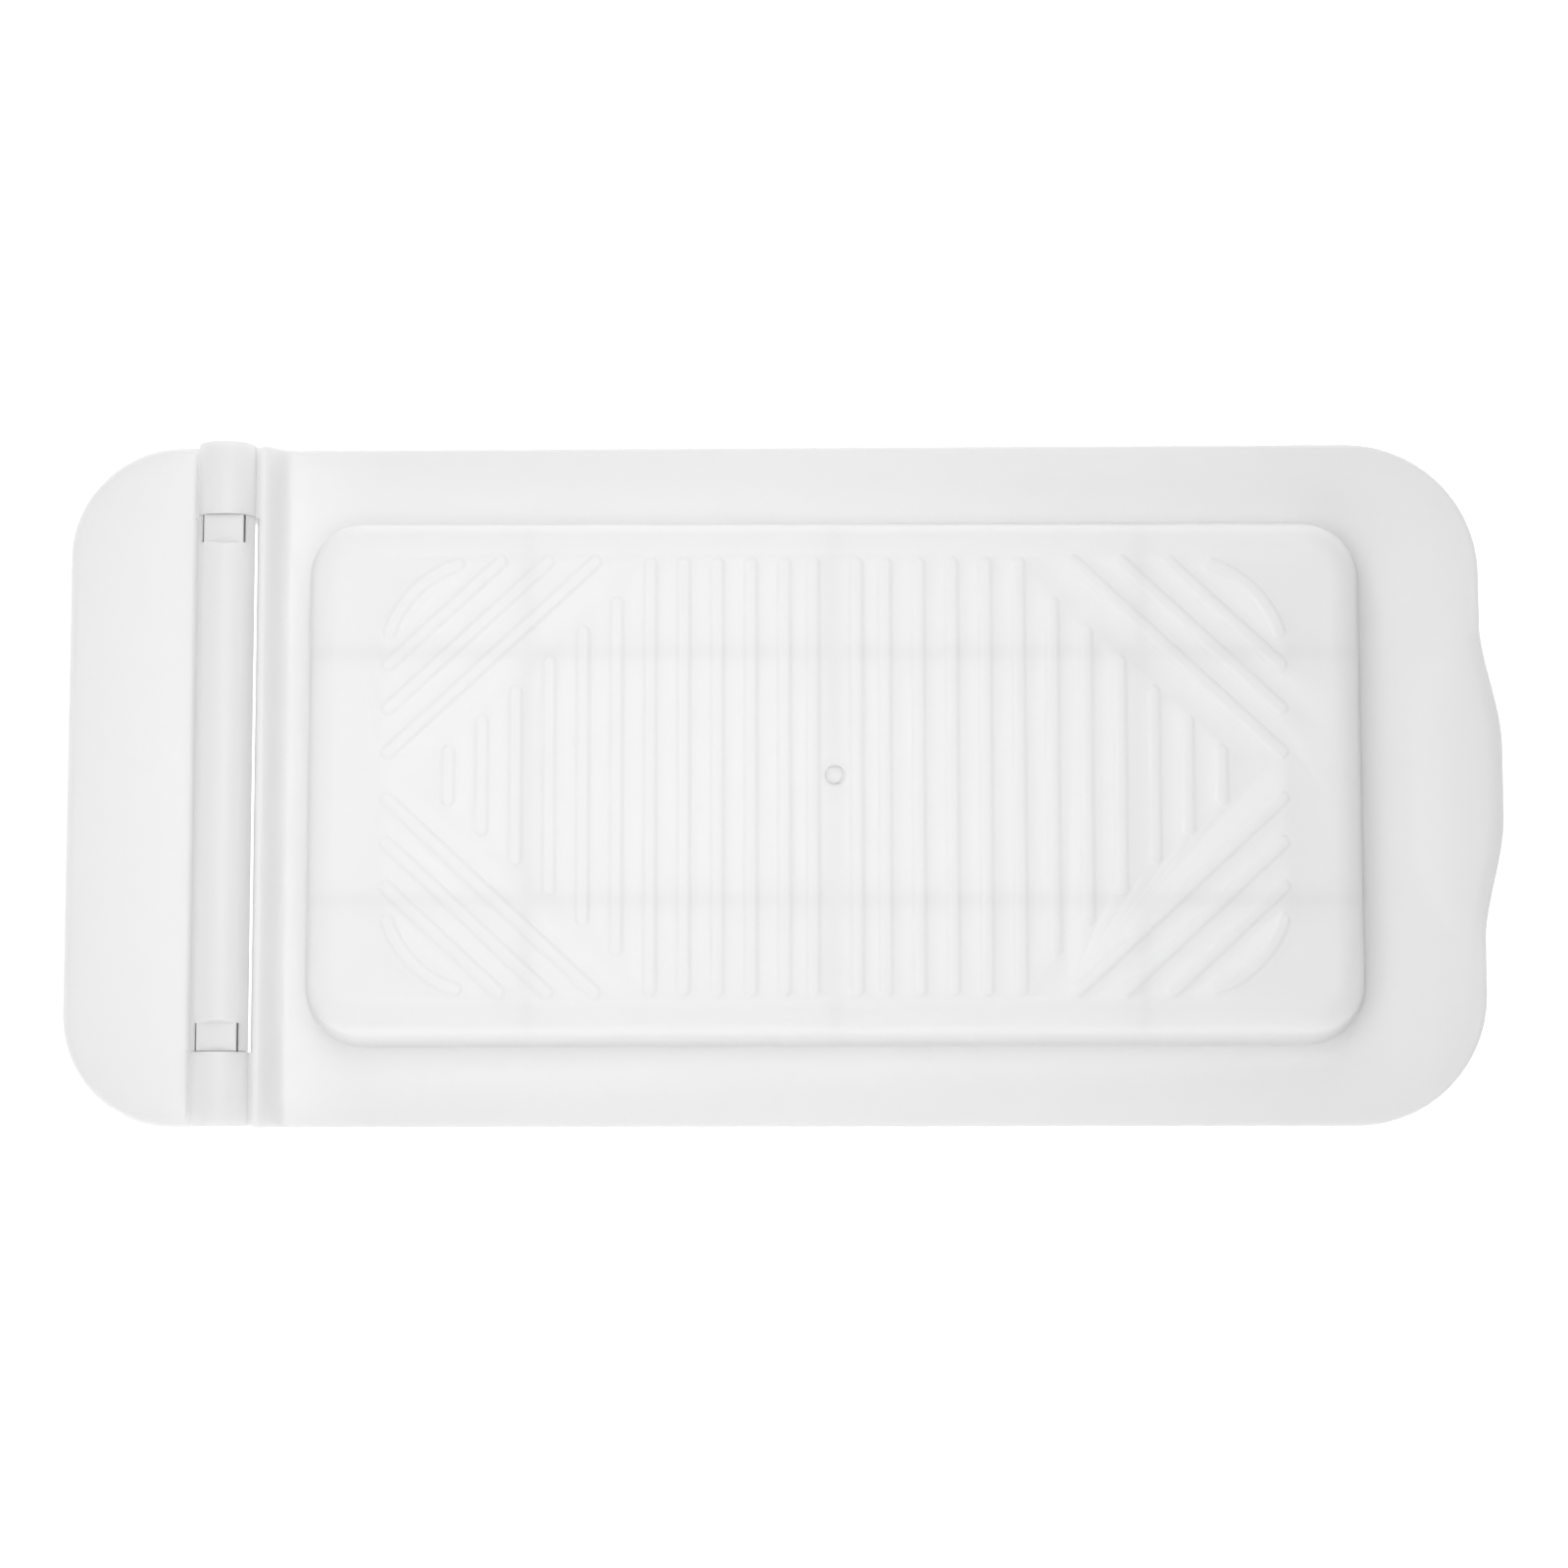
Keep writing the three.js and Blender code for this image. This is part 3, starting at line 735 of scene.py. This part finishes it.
# The stiffeners' bands of painted shade are barely darker and fade out this far from each bar's middle.
BAND_PAINTED_SHADE = 0.99
BAND_CORE = 0.4 * MM
BAND_FADE = 1.7 * MM
BAND_TOP_MARGIN = 0.5 * MM


class Nodes:
    """Adds nodes to one material and links them."""

    def __init__(self, name):
        self.material = bpy.data.materials.new(name)
        self.material.use_nodes = True
        self.tree = self.material.node_tree
        self.shader = self.tree.nodes["Principled BSDF"]

    def add(self, kind, **inputs):
        node = self.tree.nodes.new(kind)
        for key, value in inputs.items():
            self.put(node.inputs[key.replace("_", " ")], value)
        return node

    def put(self, socket, value):
        """Sets a socket to a value, or links another node's output to it."""
        if isinstance(value, bpy.types.NodeSocket):
            self.tree.links.new(value, socket)
        else:
            socket.default_value = value

    def math(self, operation, a, b=0.0, c=None):
        """One arithmetic node; c is only for operations that take three values."""
        node = self.tree.nodes.new("ShaderNodeMath")
        node.operation = operation
        for socket, value in zip(node.inputs, (a, b, c)):
            if value is not None:
                self.put(socket, value)
        return node.outputs[0]


def moulded_plastic(name, shade, roughness, bands=None):
    """White polypropylene: faint mottling, a fine moulded grain and gloss that varies with the plastic's
    flow.
    """
    nodes = Nodes(name)
    place = nodes.add("ShaderNodeTexCoord").outputs["Object"]
    mottle = nodes.add("ShaderNodeTexNoise", Vector=place, Scale=MOTTLE_SCALE, Detail=3.0).outputs["Fac"]
    grain = nodes.add("ShaderNodeTexNoise", Vector=place, Scale=GRAIN_SCALE, Detail=2.0).outputs["Fac"]
    flow = nodes.add("ShaderNodeTexNoise", Vector=place, Scale=FLOW_SCALE, Detail=4.0).outputs["Fac"]
    value = nodes.math("MULTIPLY_ADD", mottle, MOTTLE_SPREAD, 1 - MOTTLE_SPREAD / 2)
    # bands, when given, multiply painted shade into the colour.
    if bands is not None:
        value = nodes.math("MULTIPLY", value, bands(nodes, place))
    tint = nodes.add("ShaderNodeMix")
    tint.data_type = "RGBA"
    tint.blend_type = "MULTIPLY"
    colour_in = [s for s in tint.inputs if s.type == "RGBA"]
    tint.inputs[0].default_value = 1.0
    colour_in[0].default_value = (*shade, 1.0)
    spread = nodes.add("ShaderNodeCombineColor", Red=value, Green=value, Blue=value)
    nodes.put(colour_in[1], spread.outputs[0])
    nodes.put(nodes.shader.inputs["Base Color"], [s for s in tint.outputs if s.type == "RGBA"][0])
    rough = nodes.math("MULTIPLY_ADD", flow, ROUGHNESS_SPREAD, roughness - ROUGHNESS_SPREAD / 2)
    nodes.put(nodes.shader.inputs["Roughness"], rough)
    fine = nodes.add("ShaderNodeBump", Height=grain, Strength=BUMP_STRENGTH, Distance=GRAIN_DEPTH)
    broad = nodes.add("ShaderNodeBump", Height=flow, Strength=BUMP_STRENGTH, Distance=FLOW_DEPTH,
                      Normal=fine.outputs[0])
    nodes.put(nodes.shader.inputs["Normal"], broad.outputs[0])
    nodes.shader.inputs["Specular IOR Level"].default_value = SPECULAR_LEVEL
    nodes.shader.inputs["IOR"].default_value = PLASTIC_IOR
    nodes.shader.inputs["Subsurface Weight"].default_value = SCATTER_WEIGHT
    nodes.shader.inputs["Subsurface Radius"].default_value = SCATTER_RADIUS
    nodes.shader.inputs["Subsurface Scale"].default_value = SCATTER_DEPTH
    return nodes.material


def stiffener_painted_shade(nodes, place):
    """Painted shade: barely darker bands where the stiffeners stand behind the translucent sheet and block
    light coming through it.
    """
    axes = nodes.add("ShaderNodeSeparateXYZ", Vector=place)
    offsets = []
    for step in (-1, 0, 1):
        middle = (PLATFORM_X + step * CROSS_STIFFENER_STEP) * MM
        offsets.append(nodes.math("SUBTRACT", axes.outputs["X"], middle))
    for side in (-1, 1):
        offsets.append(nodes.math("SUBTRACT", axes.outputs["Y"], side * LONG_STIFFENER_Y * MM))
    nearest = 1.0
    for offset in offsets:
        nearest = nodes.math("MINIMUM", nearest, nodes.math("ABSOLUTE", offset))
    soft = nodes.add("ShaderNodeMapRange", Value=nearest)
    soft.interpolation_type = "SMOOTHSTEP"
    soft.inputs["From Min"].default_value = BAND_CORE
    soft.inputs["From Max"].default_value = BAND_FADE
    soft.inputs["To Min"].default_value = BAND_PAINTED_SHADE
    soft.inputs["To Max"].default_value = 1.0
    on_top = nodes.add("ShaderNodeMapRange", Value=axes.outputs["Z"])
    on_top.inputs["From Min"].default_value = (PLATFORM_TOP - PLATFORM_FILLET) * MM
    on_top.inputs["From Max"].default_value = PLATFORM_TOP * MM - BAND_TOP_MARGIN
    elsewhere = nodes.math("SUBTRACT", 1.0, on_top.outputs[0])
    return nodes.math("MAXIMUM", soft.outputs[0], elsewhere)


# ---- Floor ----

FLOOR_SIZE = 14.0
FLOOR_WHITE = 0.96
FLOOR_SPREAD = 0.01
FLOOR_ROUGHNESS = 0.9
FLOOR_SPECULAR = 0.1
FLOOR_GLOW = 0.7


def pale_floor():
    """A wide white floor that glows a little, as a light table does."""
    bpy.ops.mesh.primitive_plane_add(size=FLOOR_SIZE, location=(0, 0, 0))
    floor = bpy.context.object
    floor.name = "floor"
    nodes = Nodes("floor_white")
    place = nodes.add("ShaderNodeTexCoord").outputs["Object"]
    noise = nodes.add("ShaderNodeTexNoise", Vector=place, Scale=3.0, Detail=2.0).outputs["Fac"]
    value = nodes.math("MULTIPLY_ADD", noise, FLOOR_SPREAD, FLOOR_WHITE)
    colour = nodes.add("ShaderNodeCombineColor", Red=value, Green=value, Blue=value)
    nodes.put(nodes.shader.inputs["Base Color"], colour.outputs[0])
    nodes.shader.inputs["Roughness"].default_value = FLOOR_ROUGHNESS
    nodes.shader.inputs["Specular IOR Level"].default_value = FLOOR_SPECULAR
    nodes.shader.inputs["Emission Color"].default_value = (1.0, 1.0, 1.0, 1.0)
    nodes.shader.inputs["Emission Strength"].default_value = FLOOR_GLOW
    floor.data.materials.append(nodes.material)


# ---- Light and camera: places in metres, the lens in millimetres ----

SURROUND_STRENGTH = 0.4
CAMERA_LENS = 77.2
CAMERA_SENSOR = 36.0
CAMERA_TILT = math.radians(5.68)
CAMERA_PAN = math.radians(-0.41)
CAMERA_ROLL = math.radians(-0.09)
CAMERA_DISTANCE = 0.5926
CAMERA_TARGET = (0.00023, 0.0005, 0.0)


def area_light(name, place, target, width, height, power):
    data = bpy.data.lights.new(name, "AREA")
    data.shape = "RECTANGLE"
    data.size = width
    data.size_y = height
    data.energy = power
    light = bpy.data.objects.new(name, data)
    light.location = place
    aim = np.array(target) - np.array(place)
    light.rotation_euler = Vector(aim).to_track_quat("-Z", "Y").to_euler()
    bpy.context.scene.collection.objects.link(light)


def studio():
    """A plain white surround and four soft lights."""
    scene = bpy.context.scene
    scene.view_settings.view_transform = "Standard"
    world = bpy.data.worlds.new("studio")
    world.use_nodes = True
    surround = world.node_tree.nodes["Background"]
    surround.inputs["Color"].default_value = (1, 1, 1, 1)
    surround.inputs["Strength"].default_value = SURROUND_STRENGTH
    scene.world = world
    middle = (0, 0, 0)
    area_light("window", place=(-0.45, -0.35, 0.5), target=middle, width=0.3, height=0.6, power=0.25)
    area_light("far_softbox", place=(-0.06, 0.55, 0.45), target=middle, width=0.6, height=0.3, power=0.94)
    area_light("near_softbox", place=(-0.06, -0.5, 0.4), target=middle, width=0.6, height=0.3, power=0.8)
    over_hinge_side = (-0.04, 0.02, 0.32)
    below_it = (-0.04, 0.02, 0)
    area_light("overhead", place=over_hinge_side, target=below_it, width=0.2, height=0.2, power=0.33)


def camera():
    """Almost straight above the tray, leaning a little toward its near side."""
    data = bpy.data.cameras.new("camera")
    data.lens = CAMERA_LENS
    data.sensor_width = CAMERA_SENSOR
    eye = bpy.data.objects.new("camera", data)
    eye.rotation_mode = "XYZ"
    tilted = Matrix.Rotation(CAMERA_TILT, 3, "X") @ Matrix.Rotation(CAMERA_ROLL, 3, "Z")
    turn = Matrix.Rotation(CAMERA_PAN, 3, "Y") @ tilted
    eye.rotation_euler = turn.to_euler()
    eye.location = np.array(CAMERA_TARGET) + np.array(turn.col[2]) * CAMERA_DISTANCE
    bpy.context.scene.collection.objects.link(eye)
    bpy.context.scene.camera = eye


# ---- The tray ----


def place_pieces():
    """Each moulding with its material, riding on its body in place of its CAD node."""
    # The tray's colour carries painted shade in bands over the stiffeners.
    tray_white = moulded_plastic("tray_white", MOULDING_WHITE, MOULDING_ROUGHNESS, stiffener_painted_shade)
    flap_white = moulded_plastic("flap_white", MOULDING_WHITE, MOULDING_ROUGHNESS)
    pin_white = moulded_plastic("pin_white", PIN_WHITE, PIN_ROUGHNESS)
    pin = far_pin()
    rows = [
        (tray_moulding(), "tray_body", "tray", "tray_plastic", tray_white),
        (flap_moulding(), "end_flap", "flap", "flap_plastic", flap_white),
        (mirrored(pin, "near_pin"), "hinge_pin_near", "tray", "pin_plastic", pin_white),
        (pin, "hinge_pin_far", "tray", "pin_plastic", pin_white),
    ]
    for piece, node, body, slot, material in rows:
        piece.data.materials.clear()
        piece.data.materials.append(material)
        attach(piece, body)
        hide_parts(node)


place_pieces()
pale_floor()
studio()
camera()
